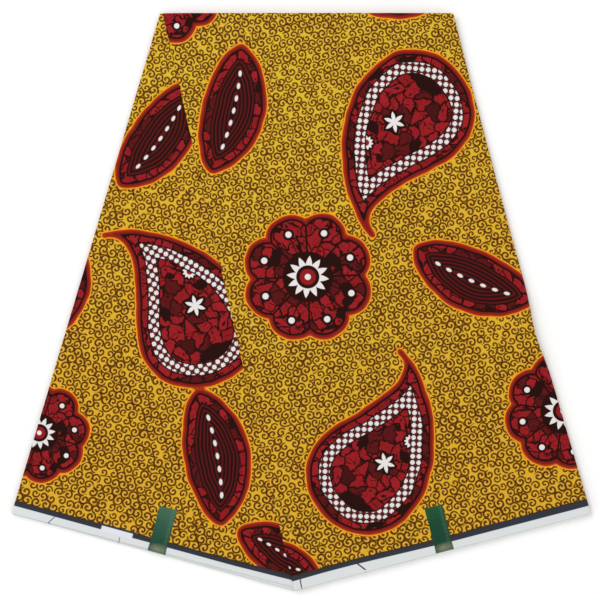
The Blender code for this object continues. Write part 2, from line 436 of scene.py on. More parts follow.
def right_edge(down):
    """A straight edge, less a half sine for the bow and a bell curve for the tuck."""
    down = np.asarray(down, float)
    tuck = TUCK_DEPTH * np.exp(-(((down - TUCK_PLACE) / TUCK_REACH) ** 2))
    inset = BOW * np.sin(np.pi * down) + tuck
    return between(TOP_RIGHT, RIGHT_CORNER, down) - joined(inset, 0 * inset)


def plan_point(down, across):
    """The point at shares of the way down and across the front."""
    return between(left_edge(down), right_edge(down), across)


def crease_height(points):
    """Sum of soft ridges and troughs.

    Each is a bell curve of the distance to its line, and fades by a raised cosine
    towards both ends of the line.
    """
    height = np.zeros(points.shape[:-1])
    wander, turn, start_turn = CREASE_WANDER
    for start_down, start_across, end_down, end_across, half_width, rise in CREASES:
        start, end = plan_point(start_down, start_across), plan_point(end_down, end_across)
        length = np.linalg.norm(end - start)
        along = np.clip((points - start) @ unit(end - start) / length, 0, 1)
        away = right_of(points, start, end)
        away += wander * np.sin(along * turn + start_down * start_turn)
        fade = 0.5 - 0.5 * np.cos(2 * np.pi * along)
        height += rise * fade * np.exp(-((away / half_width) ** 2))
    return height


def stack_height(points):
    """Height of the hidden leaves' top: two stacks with soft inner edges, and bells on them."""
    over_left = smooth_step(-right_of(points, POINT, TOP_RIGHT), STACK_FALL)
    over_right = smooth_step(right_of(points, POINT, TOP_LEFT), STACK_FALL)
    height = LEFT_STACK * over_left + RIGHT_STACK * over_right
    for down, across, half_length, half_width, rise in SWELLS:
        offset = points - plan_point(down, across)
        bell = (offset[..., 0] / half_width) ** 2 + (offset[..., 1] / half_length) ** 2
        height = height + rise * np.exp(-bell)
    return height + crease_height(points)


def edge_drop(*distances):
    """Fall of a rounded edge: a quarter circle over the last EDGE_ROUND of cloth.

    At a corner the shares of two edges join as the sides of a right angle do.
    """
    shares = [np.clip(1 - distance / EDGE_ROUND, 0, 1) for distance in distances]
    share = np.minimum(np.sqrt(sum(value**2 for value in shares)), 1)
    return EDGE_ROUND * (1 - np.sqrt(1 - share**2))


def raised(points, height):
    """Points in plan with their height added."""
    return np.concatenate([points, np.broadcast_to(height, points.shape[:-1])[..., None]], -1)


def selvedge_axes(corner):
    """Directions to the right along the selvedge from a side corner, and up from it."""
    along = unit(corner - POINT) * np.sign(corner[0] - POINT[0])
    return along, np.array([-along[1], along[0]])


def flat_cloth(points, corner):
    """Millimetres along the selvedge from the bottom point, and up from the cut edge."""
    along, up = selvedge_axes(corner)
    offset = points - POINT
    return joined(offset @ along, offset @ up - SELVEDGE_SHORT) * 1000


def turned_out(points):
    """Where points folded under the right leaf lie once the front fold is opened."""
    axis = unit(FOLD_TOP - POINT)
    offset = points - POINT
    return POINT + 2 * (offset @ axis)[..., None] * axis - offset


# Outlines of the motifs, in millimetres


def pod_outline():
    """A seed pod: an ellipse drawn to a point at both ends and bent along its length."""
    half_length, half_width = POD_HALF
    turn = full_turn(96)
    bend = POD_BEND * (np.cos(turn) ** 2 - 0.5)
    across = half_width * np.sin(turn) * np.abs(np.sin(turn)) ** POD_POINTED
    return joined(half_length * np.cos(turn), across + bend)


def rosette_outline():
    """A flower of eight petals: a circle whose radius swells once for each petal."""
    turn = full_turn(160)
    swell = np.abs(np.cos(PETALS / 2 * turn)) ** PETAL_ROUNDED
    radius = ROSETTE_HALF * (1 - PETAL_SWELL + PETAL_SWELL * swell)
    return joined(radius * np.cos(turn), radius * np.sin(turn))


def mango_outline():
    """A mango leaf: a teardrop whose tail curls back and round by powers of its share."""
    half_length, half_width = MANGO_HALF
    turn = full_turn(200)
    along = half_length * np.cos(turn)
    across = MANGO_FULLNESS * half_width * np.sin(turn) * np.sin(turn / 2) ** MANGO_TAPER
    share = np.clip((along + TAIL_START) / (half_length + TAIL_START), 0, 1)
    back, aside = [reach * share**power for reach, power in TAIL_REACHES]
    return joined(along - back, across + aside)


OUTLINES = {SEED_POD: pod_outline(), ROSETTE: rosette_outline(), MANGO_LEAF: mango_outline()}


def distance_to_outline(points, outline):
    """Distance to a closed outline, negative inside.

    The distance is the least over its straight parts, and the side comes from how many
    parts a ray to the right crosses.
    """
    nearest = np.full(len(points), np.inf)
    inside = np.zeros(len(points), bool)
    for start, end in zip(outline, np.roll(outline, -1, axis=0)):
        part, offset = end - start, points - start
        share = np.clip(offset @ part / (part @ part), 0, 1)
        nearest = np.minimum(nearest, np.linalg.norm(offset - share[:, None] * part, axis=1))
        spans = (start[1] > points[:, 1]) != (end[1] > points[:, 1])
        rise = np.where(spans, part[1], 1)
        inside ^= spans & (offset[:, 0] < offset[:, 1] * part[0] / rise)
    return np.where(inside, -nearest, nearest)


def motif_fields(flat):
    """Distance to the nearest motif's outline, and the place in that motif's own frame.

    The place's third number is the motif's kind. The design repeats over the cloth, so each
    motif is also tried one repeat away.
    """
    edge = np.full(len(flat), FAR)
    own_place = np.zeros((len(flat), 3))
    wrapped = (flat - REPEAT_START) % REPEAT + REPEAT_START
    for kind, along, up, turn, size in MOTIFS:
        outline = OUTLINES[kind]
        reach = size * np.linalg.norm(outline, axis=1).max() + FAR
        cosine, sine = math.cos(math.radians(turn)), math.sin(math.radians(turn))
        for shift in itertools.product((-1, 0, 1), repeat=2):
            offset = wrapped - [along, up] - np.multiply(shift, REPEAT)
            near = np.flatnonzero((np.abs(offset) < reach).all(axis=1))
            if not len(near):
                continue
            own = offset[near] @ np.array([[cosine, -sine], [sine, cosine]]) / size
            distance = distance_to_outline(own, outline) * size
            closer = distance < edge[near]
            edge[near[closer]] = distance[closer]
            own_place[near[closer], :2] = own[closer]
            own_place[near[closer], 2] = kind
    return {"motif_edge": edge, "motif_place": own_place}


# Meshes


def ring_quads(upper, lower):
    """Quads between two closed rings of vertex numbers, one below the other."""
    return joined(upper, np.roll(upper, -1), np.roll(lower, -1), lower)


def border(grid):
    """The grid's outermost entries, once round, starting along the first row."""
    return np.concatenate([grid[0, :-1], grid[:-1, -1], grid[-1, :0:-1], grid[:0:-1, 0]])


def placed(name, data):
    """A mesh, camera or lamp as an object of the scene."""
    piece = bpy.data.objects.new(name, data)
    bpy.context.collection.objects.link(piece)
    return piece


def build_mesh(name, points, quads, flat, baked, material, sharp):
    """A smooth mesh with the motif fields and two maps: the flat cloth, and one for baking.

    Flat gives each point's millimetres of cloth, and baked the place of each quad's corners.
    """
    mesh = bpy.data.meshes.new(name)
    mesh.from_pydata(points.tolist(), [], quads.tolist())
    for layer, values in (("cloth", (flat / 1000)[quads]), ("OFBake", baked)):
        uv = mesh.uv_layers.new(name=layer)
        uv.data.foreach_set("uv", values.astype(np.float32).ravel())
    for field, values in motif_fields(flat).items():
        kind, item = ("FLOAT", "value") if values.ndim == 1 else ("FLOAT_VECTOR", "vector")
        attribute = mesh.attributes.new(field, kind, "POINT")
        attribute.data.foreach_set(item, values.astype(np.float32).ravel())
    mesh.shade_smooth()
    mesh.set_sharp_from_angle(angle=math.radians(sharp))
    mesh.materials.append(material)
    return placed(name, mesh)


def baked_place(shape, low, high, shares=None):
    """A band of the bake map for a grid of points, its columns at shares across."""
    shares = np.linspace(0, 1, shape[1]) if shares is None else shares
    columns = BAKE_LOW + (BAKE_HIGH - BAKE_LOW) * shares
    rows = np.linspace(high, low, shape[0])
    return joined(*np.meshgrid(columns, rows)).reshape(-1, 2)


def two_sides(shape, front_place, back_place, shares=None):
    """Vertex numbers of a grid, and the quads and bake map of both its sides.

    Its rows run down and its columns to the right. The other side is a copy of it that
    faces away and has the next vertex numbers.
    """
    numbers = np.arange(shape[0] * shape[1]).reshape(shape)
    corners = (numbers[:-1, :-1], numbers[1:, :-1], numbers[1:, 1:], numbers[:-1, 1:])
    front = joined(*corners).reshape(-1, 4)
    back = front[:, ::-1]
    baked = [baked_place(shape, *front_place, shares)[front]]
    baked.append(baked_place(shape, *back_place, shares)[back])
    return numbers, [front, back + numbers.size], baked


def cloth_sheet(name, outer, thickness, cloth, material, sharp=SHEET_SHARP, shares=None):
    """A closed sheet of cloth: the outer grid, the same moved in by its thickness, a rim.

    It moves along the cross product of the steps down the rows and across. Shares place
    its columns in the map for baking.
    """
    inner = outer - thickness * unit(np.cross(*np.gradient(outer, axis=(0, 1))))
    numbers, sides, baked = two_sides(outer.shape[:2], SHEET_FRONT, SHEET_BACK, shares)
    ring = border(numbers)
    quads = np.vstack([*sides, ring_quads(ring, ring + numbers.size)])
    steps = np.linspace(BAKE_LOW, BAKE_HIGH, len(ring) + 1)
    steps = joined(steps[:-1], steps[1:], steps[1:], steps[:-1])
    baked = np.vstack([*baked, joined(steps, np.tile(SHEET_RIM, (len(ring), 1)))])
    points = np.vstack([outer.reshape(-1, 3), inner.reshape(-1, 3)])
    flat = np.tile(cloth.reshape(-1, 2), (2, 1))
    return build_mesh(name, points, quads, flat, baked, material, sharp)


def edge_steps(count, width):
    """Shares of a width, crowded over the rounded edge and even past it."""
    first = EDGE_ROUND * np.array(EDGE_SHARES)
    rest = np.linspace(0, 1, count + 1)[1:]
    start = first[-1] / width
    return np.hstack([first / width, start + (1 - start) * rest])


def leaf_rows():
    """Places down the leaf, crowded at the top fold and ending at the cut selvedge."""
    rows = edge_steps(LEAF_ROWS, SIDE_DROP) * LEAF_END
    return np.append(rows[:-1], [LEAF_END - LAST_ROW_GAP, LEAF_END])[:, None]


def selvedge_ripple(plan, corner, seed):
    """Small waves of the cut edge, two sines that die out exponentially up the leaf."""
    cloth = flat_cloth(plan, corner)
    along, up = cloth[..., 0], cloth[..., 1]
    fade = np.exp(-np.clip(up, 0, None) / RIPPLE_REACH)
    ripple = [part * np.sin(along / length + seed * turn) for length, part, turn in RIPPLE_WAVES]
    return RIPPLE_HEIGHT * sum(ripple) * fade


def on_stack(plan, level, corner, ripple, *edges):
    """Points at a level above the stack, with the selvedge's ripple, less rounded edges."""
    height = stack_height(plan) + level - edge_drop(*edges)
    return raised(plan, height + selvedge_ripple(plan, corner, ripple))


def make_left_leaf(material):
    """The left stretch: a height field from its outer fold to the hidden fold."""
    down = leaf_rows()
    start, end = left_edge(down), hidden_fold(down)
    shares = edge_steps(LEAF_COLUMNS, np.linalg.norm(end - start, axis=-1))
    plan = between(start, end, shares)
    edges = right_of(plan, LEFT_CORNER, TOP_LEFT), HALF_DROP - plan[..., 1]
    outer = on_stack(plan, LEFT_TOP, LEFT_CORNER, LEFT_RIPPLE, *edges)
    return cloth_sheet("left_leaf_cloth", outer, PLY, flat_cloth(plan, LEFT_CORNER), material)


def make_right_leaf(material):
    """The right stretch, from the hidden fold round the front fold to the right edge.

    The under ply runs out to the front fold, a half circle turns it over, and the top
    ply runs back from there, dipping towards the fold by an exponential.
    """
    down = leaf_rows()
    fold, hidden, right = front_fold(down), hidden_fold(down), right_edge(down)
    along_row = unit(right - fold)
    start = fold + (FOLD_TOP_LEVEL - UNDER_LEVEL) / 2 * along_row
    shares = np.linspace(1, 0, UNDER_COLUMNS + 1) ** UNDER_CROWDING
    under_plan = between(start, hidden, shares)
    under = raised(under_plan, stack_height(under_plan) + UNDER_LEVEL)

    shares = 1 - edge_steps(LEAF_COLUMNS, np.linalg.norm(right - start, axis=-1))[:, ::-1]
    top_plan = between(start, right, shares)
    from_fold = np.clip(right_of(top_plan, POINT, FOLD_TOP), 0, None)
    dip = (RIGHT_TOP - FOLD_TOP_LEVEL) * np.exp(-from_fold / FOLD_DIP_REACH)
    edges = np.linalg.norm(right - top_plan, axis=-1), HALF_DROP - top_plan[..., 1]
    top = on_stack(top_plan, RIGHT_TOP - dip, RIGHT_CORNER, RIGHT_RIPPLE, *edges)

    centre = (under[:, -1:] + top[:, :1]) / 2
    reach = np.linalg.norm(top[:, :1] - under[:, -1:], axis=-1, keepdims=True) / 2
    arc_shares = np.arange(1, FOLD_ARC_STEPS) / FOLD_ARC_STEPS
    turn = np.pi * arc_shares[:, None]
    outward = -np.cos(turn) * [0, 0, 1] - np.sin(turn) * raised(along_row, 0)
    outer = np.hstack([under, centre + reach * outward, top])

    under_cloth = flat_cloth(turned_out(under_plan), RIGHT_CORNER)
    cloth = flat_cloth(top_plan, RIGHT_CORNER)
    arc_cloth = between(under_cloth[:, -1:], cloth[:, :1], arc_shares)
    cloth = np.hstack([under_cloth, arc_cloth, cloth])
    shares = np.linspace(0, UNDER_SHARES[0], UNDER_COLUMNS + FOLD_ARC_STEPS)
    shares = np.append(shares, np.linspace(UNDER_SHARES[1], 1, top.shape[1]))
    return cloth_sheet("right_leaf_cloth", outer, PLY, cloth, material, HAIRPIN_SHARP, shares)


# Hidden leaves


def stack_plan():
    """Plan grid of the whole footprint, in two strips that meet at the front fold."""
    down = np.linspace(0, 1, STACK_ROWS + 1)[:, None]
    shares = np.linspace(0, 1, STACK_COLUMNS + 1)
    left = between(left_edge(down), front_fold(down), shares[:-1])
    return np.hstack([left, between(front_fold(down), right_edge(down), shares)])


def inward(loop):
    """Direction at each point of a closed loop that moves both its edges in by one."""
    edges = np.roll(loop, -1, axis=0) - loop
    normals = unit(joined(edges[:, 1], -edges[:, 0]))
    middle = unit(normals + np.roll(normals, 1, axis=0))
    return middle / np.clip((middle * normals).sum(-1, keepdims=True), 0.5, 1)


def drift(index, around, most):
    """An uneven shift for each fold: slow sines round the edge, out of step with each other."""
    waves = sum(np.sin(around * count + index * turn) for count, turn in DRIFT_WAVES)
    return most * (0.5 + 0.25 * waves)


def edge_ring(loop, direction, edge_height, at_selvedge, q):
    """Points of the stack's edge at a share q of the way down it, and their fold numbers.

    Counted in folds, q gives a whole number, the fold, and a phase from 0 to 1. A fold
    bulges by the square root of 1 - (2 phase - 1)^2, the half ellipse, and the upper ply
    ends step inwards.
    """
    around = full_turn(len(loop))
    folds = np.where(at_selvedge, PLY_ENDS, SIDE_FOLDS)
    count, turn = WOBBLE_WAVES
    wobble = FOLD_WOBBLE * np.sin(around * count + q * turn) * np.sin(np.pi * q) / folds
    counted = np.clip((q + wobble) * folds, 0, folds - 0.001)
    index = np.floor(counted)
    bulge = np.sqrt(np.clip(1 - (2 * (counted - index) - 1) ** 2, 0, 1))
    depth = np.where(at_selvedge, END_DEPTH, FOLD_DEPTH)
    shift = drift(index, around, np.where(at_selvedge, END_DRIFT, FOLD_DRIFT))
    inset = depth * (1 - bulge) + shift * (1 - DRIFT_FADE * q)
    inset += at_selvedge * END_STEP * (1 - q)
    return raised(loop + direction * inset[:, None], edge_height * (1 - q)), counted


def make_hidden_folds(material):
    """Both stacks under the front as one body: a top, a flat base, and a ridged edge."""
    plan = stack_plan()
    height = stack_height(plan)
    past_dart = right_of(plan, hidden_fold(1.0), hidden_fold(0.0))
    height += DART_RISE * smooth_step(past_dart - DART_BEHIND, DART_SOFT)
    loop = border(plan)
    at_selvedge = border(np.indices(height.shape)[0]) == STACK_ROWS
    levels = np.linspace(0, 1, RINGS + 1)
    rings = [edge_ring(loop, inward(loop), border(height), at_selvedge, q) for q in levels]
    rings, counted = zip(*rings)
    numbers, sides, baked = two_sides(height.shape, STACK_TOP, STACK_BASE)
    outermost = border(numbers)
    top, base = raised(plan, height).reshape(-1, 3), raised(plan, 0).reshape(-1, 3)
    top[outermost], base[outermost] = rings[0], rings[-1]
    points = np.vstack([top, base, *rings[1:-1]])

    inner_rings = 2 * numbers.size + np.arange((RINGS - 1) * len(loop)).reshape(RINGS - 1, -1)
    ring_numbers = [outermost, *inner_rings, numbers.size + outermost]
    sides += [ring_quads(*pair) for pair in zip(ring_numbers[:-1], ring_numbers[1:])]
    baked += [side_place(height.shape, q, q + 1 / RINGS) for q in levels[:-1]]
    quads, baked = np.vstack(sides), np.vstack(baked)

    left, right = plan[:, :STACK_COLUMNS], plan[:, STACK_COLUMNS:]
    cloth = np.hstack([flat_cloth(left, LEFT_CORNER), flat_cloth(right, RIGHT_CORNER)])
    edges = [fold_cloth(border(cloth), folds, at_selvedge[:, None]) for folds in counted[1:-1]]
    flat = np.vstack([cloth.reshape(-1, 2), cloth.reshape(-1, 2), *edges])
    return build_mesh("hidden_folds_cloth", points, quads, flat, baked, material, STACK_SHARP)


def fold_cloth(edge_cloth, counted, at_selvedge):
    """Flat place of the edge's cloth: another stretch of the print on every fold.

    Over one fold the cloth runs on by FOLD_GIRTH. Ply ends show the white selvedge.
    """
    index = np.floor(counted)[:, None]
    on_fold = edge_cloth + index * PRINT_JUMP + FOLD_GIRTH * (counted[:, None] - index)
    along_selvedge = edge_cloth * [1, 0] + WHITE_BAND
    return np.where(at_selvedge, along_selvedge, on_fold)


def side_place(shape, upper, lower):
    """Bake map of one ring of the edge: each of its four sides in a band of its own."""
    lengths = [shape[1] - 1, shape[0] - 1, shape[1] - 1, shape[0] - 1]
    low = BAKE_LOW + STACK_BAND * np.repeat(np.arange(4), lengths)[:, None]
    start = np.hstack([np.arange(count) / count for count in lengths])
    stop = start + 1 / np.repeat(lengths, lengths)
    across = BAKE_LOW + (BAKE_HIGH - BAKE_LOW) * joined(start, stop, stop, start)
    down = np.array([upper, upper, lower, lower])
    return joined(across, low + (STACK_BAND - BAND_GAP) * (1 - down))


# Labels


def make_label(side, corner, leaf_level, ripple, material):
    """A foil strip up the leaf, turned down over the selvedge, with pressed-in crinkles.

    The rows run down the leaf, round a quarter circle, and a little way down the edge.
    Crinkles are products of two sines of the place on the label, faded at its middle.
    """
    along, up_leaf = selvedge_axes(corner)
    foot = between(corner, POINT, LABEL_PLACES[side]) + SELVEDGE_SHORT * up_leaf
    rows = np.arange(1 - LABEL_ROWS, LABEL_TURN_STEPS + 1)[:, None]
    share = np.clip(-rows / (LABEL_ROWS - 1), 0, 1)
    turn = np.pi / 2 * np.clip(rows / LABEL_TURN_STEPS, 0, 1)
    across, up = np.linspace(-0.5, 0.5, LABEL_COLUMNS), LABEL_LENGTH * share
    worn = LABEL_WEAR * np.sin(up * WEAR_WAVES[0] + WEAR_WAVES[1])
    worn = worn * np.clip(np.abs(across) - WEAR_START, 0, 1)
    sideways = across * LABEL_WIDTH + worn * np.sign(across)
    on_leaf = foot + up[..., None] * up_leaf + sideways[..., None] * along
    waves = [np.sin(share * tall + across * wide + start) for tall, wide, start in CRINKLE_WAVES]
    edgeward = CRINKLE_SHARES[0] + CRINKLE_SHARES[1] * np.abs(across)
    crinkle = LABEL_CRINKLE * waves[0] * waves[1] * edgeward * np.cos(turn)
    level = leaf_level + LABEL_LIFT * np.cos(turn) + crinkle
    surface = on_stack(on_leaf, level, corner, ripple)
    surface[..., :2] -= (LABEL_LIFT * np.sin(turn))[..., None] * up_leaf
    falls = np.array(LABEL_FALLS)
    outer = np.vstack([surface, *[surface[-1:] - [0, 0, fall] for fall in falls]])
    cloth = joined(*np.meshgrid(across * LABEL_WIDTH, np.append(up, -falls))) * 1000
    return cloth_sheet(f"{side}_label_foil", outer, LABEL_FOIL, cloth, material)


# Materials


def linear(colour):
    """An sRGB hex colour as linear red, green, blue and alpha."""
    values = np.array([int(colour[i : i + 2], 16) / 255 for i in (1, 3, 5)])
    low, high = values / 12.92, ((values + 0.055) / 1.055) ** 2.4
    return (*np.where(values <= 0.04045, low, high).tolist(), 1.0)


def fill(node, inputs):
    """Fills a node's inputs by name or number: an output links, a hex string is a colour."""
    for name, value in inputs.items():
        socket = node.inputs[name]
        if isinstance(value, bpy.types.NodeSocket):
            node.id_data.links.new(value, socket)
        else:
            socket.default_value = linear(value) if isinstance(value, str) else value


def add_node(tree, kind, *values, output=0, stops=(), **settings):
    """Adds a node with its settings and links, and returns an output, or all for None.

    The kind may end in an operation, as in VectorMath.ADD, and one in capitals is a Math
    node's. Values fill the inputs in order, and settings fill those that they name. Stops
    are a colour ramp's.
    """
    kind, _, operation = ("Math." + kind if kind.isupper() else kind).partition(".")
    node = tree.nodes.new("ShaderNode" + kind)
    if operation:
        node.operation = operation
    inputs = {name: settings.pop(name) for name in list(settings) if name in node.inputs}
    for name, setting in settings.items():
        setattr(node, name, setting)
    for index, (position, colour) in enumerate(stops):
        elements = node.color_ramp.elements
        element = elements[index] if index < 2 else elements.new(position)
        element.position = position
        element.color = linear(colour)
    enabled = [index for index, socket in enumerate(node.inputs) if socket.enabled]
    fill(node, {**dict(zip(enabled, values)), **inputs})
    outputs = [socket for socket in node.outputs if socket.enabled]
    if output is None:
        return outputs
    return node.outputs[output] if output else outputs[0]


def new_material(name):
    """A material, the function that adds a node to it, and its shader."""
    material = bpy.data.materials.new(name)
    material.use_nodes = True
    tree = material.node_tree
    return material, functools.partial(add_node, tree), tree.nodes["Principled BSDF"]


def covered(add, distance, limit=0.0):
    """1 where a distance in millimetres is under a limit, with the soft edge of ink."""
    return add("MapRange", distance, limit - INK_BLEED, limit + INK_BLEED, 1.0, 0.0)


def painted(add, colour, *coats):
    """Coats of dye laid one over another, each a mask and its colour."""
    for mask, coat in coats:
        colour = add("Mix", mask, colour, coat, data_type="RGBA")
    return colour


def printed(add, colour, inks):
    """Inks laid one over another, each where a distance is under its limit."""
    coats = [(covered(add, distance, limit), ink) for distance, limit, ink in inks]
    return painted(add, colour, *coats)


def shaken(add, place, noise, reach):
    """A place moved about by soft noise times a reach, and the noise, whose middle is 0."""
    shake = add("TexNoise", place, *noise, noise_dimensions="2D", output="Color")
    shake = add("VectorMath.SUBTRACT", shake, (0.5, 0.5, 0.5))
    return add("VectorMath.MULTIPLY_ADD", shake, reach, place), shake


def curl_distance(add, lattice, feature):
    """Millimetres to the line of the curl in the nearest, or next nearest, cell, and its radius.

    In its own polar frame a curl is a spiral that opens fast and then runs nearly round,
    radius = full radius x turns to a power. The turns that a point's radius stands for, less
    its own angle in turns, have the turn number as their nearest whole number. What is left
    over is the way to the line in turns. It becomes millimetres through the line's own slope.
    The line's half width follows the turns, and past its ends the curl is a pitch away.
    """
    _, random, middle = add(
        "TexVoronoi", lattice, 1 / CURL_PITCH, output=None, Randomness=CURL_JITTER,
        voronoi_dimensions="2D", feature=feature,
    )
    slanted = add("VectorMath.SUBTRACT", lattice, middle)
    slanted_x, slanted_y, _ = add("SeparateXYZ", slanted, output=None)
    x = add("MULTIPLY_ADD", slanted_y, 0.5, slanted_x)
    y = add("MULTIPLY", slanted_y, math.sqrt(3) / 2)
    start, side, dice = add("SeparateColor", random, output=None)
    hand = add("SIGN", add("SUBTRACT", side, 0.5))
    angle = add("ARCTAN2", add("MULTIPLY", y, hand), x)
    turn = add("MULTIPLY_ADD", angle, 1 / math.tau, start)
    size = add("MapRange", dice, 0.0, 1.0, *CURL_SIZES)
    radius = add("DIVIDE", add("VectorMath.LENGTH", add("CombineXYZ", x, y)), size)
    opened = add("POWER", add("DIVIDE", radius, CURL_RADIUS), 1 / CURL_POWER)
    outside = add("SUBTRACT", opened, turn)
    turns = add("ADD", add("ROUND", outside), turn)
    share = add("DIVIDE", turns, size)
    share = add("MapRange", share, 0.0, CURL_TURNS, *CURL_ENDS)
    width = add("MULTIPLY", add("ValToRGB", share, stops=CURL_WIDTHS), CURL_HALF_LINE)
    across = add("MULTIPLY", opened, 1 / CURL_POWER)
    slope = add("VectorMath.LENGTH", add("CombineXYZ", across, 1 / math.tau))
    slope = add("DIVIDE", radius, slope)
    distance = add("MULTIPLY", add("PINGPONG", outside, 0.5), slope)
    distance = add("SUBTRACT", distance, width)
    past_end = add("LESS_THAN", width, LEAST_WIDTH)
    return add("MULTIPLY_ADD", past_end, CURL_PITCH, distance), radius


def curls(add, drawn, up):
    """Millimetres to the nearest curl's line, and the radius in its cell.

    Curls are larger near the selvedge, so the cloth is shrunk there before they are drawn:
    along by the scale, and up by the mean scale from the selvedge. A square grid on cloth
    slanted by 30 degrees is a grid of triangles.
    """
    scale = add("MapRange", up, *CURL_SHRINKS, *CURL_SCALES)
    mean_scale = add("MapRange", up, *CURL_SHRINKS, CURL_SCALES[0], sum(CURL_SCALES) / 2)
    scaled = add("VectorMath.MULTIPLY", drawn, add("CombineXYZ", scale, mean_scale))
    x, y, _ = add("SeparateXYZ", scaled, output=None)
    slanted = add("MULTIPLY_ADD", y, -1 / math.sqrt(3), x)
    lattice = add("CombineXYZ", slanted, add("MULTIPLY", y, 2 / math.sqrt(3)))
    curl, radius = curl_distance(add, lattice, "F1")
    next_curl, _ = curl_distance(add, lattice, "F2")
    return add("MINIMUM", curl, next_curl), radius


def crackle_colour(add, place):
    """Crimson cloth in patches, parted by wandering near-black lines, as cracked wax leaves."""
    bent, _ = shaken(add, place, PATCH_NOISE, PATCH_BEND)
    cells = {"voronoi_dimensions": "2D"}
    gap = add("TexVoronoi", bent, 1 / PATCH_PITCH, feature="DISTANCE_TO_EDGE", **cells)
    gap = add("MULTIPLY", gap, PATCH_PITCH)
    tone = add("TexVoronoi", bent, 1 / PATCH_PITCH, output="Color", **cells)
    patch = add("ValToRGB", add("SeparateColor", tone), stops=PATCH_DYES)
    vein = add("TexNoise", bent, *VEIN_NOISE, noise_dimensions="2D")
    vein = add("ABSOLUTE", add("SUBTRACT", vein, 0.5))
    vein = add("MapRange", vein, *VEIN_FADE)
    return painted(add, patch, (vein, DARK), (covered(add, gap, CRACK_HALF_LINE), DARK))


def polar(add, place, centre=(0, 0, 0)):
    """Radius in millimetres, and angle, about a centre."""
    offset = add("VectorMath.SUBTRACT", place, centre)
    offset = add("VectorMath.MULTIPLY", offset, (1, 1, 0))
    x, y, _ = add("SeparateXYZ", offset, output=None)
    return add("VectorMath.LENGTH", offset), add("ARCTAN2", y, x)


def ray_share(add, angle, rays):
    """0 on each of a number of even rays and 0.5 midway between them, by a ping-pong."""
    return add("PINGPONG", add("MULTIPLY", angle, rays / math.tau), 0.5)


def star_distance(add, place, centre, points, tip, notch):
    """Roughly the distance to a star whose edge runs straight from tips to notches."""
    radius, angle = polar(add, place, centre)
    reach = add("MapRange", ray_share(add, angle, points), 0.0, 0.5, tip, notch)
    return add("SUBTRACT", radius, reach)


def pod_colour(add, edge, place, crackle):
    """A dark core with maroon contour lines, and a row of pale seeds down its middle.

    The seeds are ellipses about every whole pitch along the pod's bent middle line.
    """
    along, across, _ = add("SeparateXYZ", place, output=None)
    bend = add("MULTIPLY", along, 1 / POD_HALF[0])
    bend = add("MULTIPLY_ADD", bend, bend, -0.5)
    off_axis = add("MULTIPLY_ADD", bend, -POD_BEND, across)
    seed = add("CombineXYZ", add("PINGPONG", along, SEED_HALF_PITCH), off_axis)
    seed = add("VectorMath.LENGTH", add("VectorMath.MULTIPLY", seed, SEED_STRETCH))
    past_end = add("SUBTRACT", add("ABSOLUTE", along), SEED_ROW_HALF)
    seed = add("MAXIMUM", add("SUBTRACT", seed, SEED_RADIUS), past_end)
    contour = add("PINGPONG", edge, POD_CONTOUR)
    inks = [(contour, CONTOUR_HALF_LINE, MAROON), (seed, 0.0, CHALK)]
    return printed(add, crackle, [(edge, POD_CORE, printed(add, DARK, inks))])


def rosette_colour(add, place, crackle):
    """Petals, each with a vein and a pale dot, round a dark hub with a toothed ring."""
    radius, angle = polar(add, place)
    arc = add("MULTIPLY", radius, math.tau / PETALS)
    beside = add("MULTIPLY", ray_share(add, angle, PETALS), arc)
    to_notch = add("SUBTRACT", add("MULTIPLY", arc, 0.5), beside)
    from_dot = add("SUBTRACT", radius, PETAL_DOT)
    dot = add("VectorMath.LENGTH", add("CombineXYZ", from_dot, beside))
    vein_end = add("SUBTRACT", radius, PETAL_VEIN_END)
    vein = add("MAXIMUM", add("SUBTRACT", beside, PETAL_VEIN_HALF), vein_end)
    teeth = star_distance(add, place, *HUB_TEETH)
    inks = [(to_notch, PETAL_GAP, DARK), (vein, 0.0, DARK)]
    inks += [(dot, limit, ink) for limit, ink in DOT_RINGS]
    inks += [(radius, HUB_RADIUS, DARK), (teeth, 0.0, CHALK)]
    inks += [(radius, limit, ink) for limit, ink in HUB_RINGS]
    return printed(add, crackle, inks)


def mango_colour(add, edge, place, crackle):
    """A leaf with a dark and chalk lattice band inside its edge, and a star at its heart."""
    band = add("ABSOLUTE", add("ADD", edge, MANGO_BAND))
    turned = add("Mapping", place, Rotation=(0, 0, math.pi / 4))
    x, y, _ = add("SeparateXYZ", turned, output=None)
    bars = [add("PINGPONG", value, LATTICE_PITCH / 2) for value in (x, y)]
    bar, knot = add("MINIMUM", *bars), add("MAXIMUM", *bars)
    lattice = printed(add, CHALK, [(bar, LATTICE_BAR, DARK), (knot, LATTICE_KNOT, MAROON)])
    inks = [(star_distance(add, place, *star), 0.0, ink) for *star, ink in MANGO_STARS]
    inks += [(band, MANGO_BAND_LINE, DARK), (band, MANGO_BAND_HALF, lattice)]
    return printed(add, crackle, inks)


def motif_colour(add, edge, place):
    """The inside of a pod, a rosette or a mango leaf, by the kind that the cloth holds."""
    crackle = crackle_colour(add, place)
    kind = add("SeparateXYZ", place, output="Z")
    colour = pod_colour(add, edge, place, crackle)
    rosette = rosette_colour(add, place, crackle)
    mango = mango_colour(add, edge, place, crackle)
    for number, inside in ((ROSETTE, rosette), (MANGO_LEAF, mango)):
        chosen = add("COMPARE", kind, number, 0.4)
        colour = painted(add, colour, (chosen, inside))
    return colour


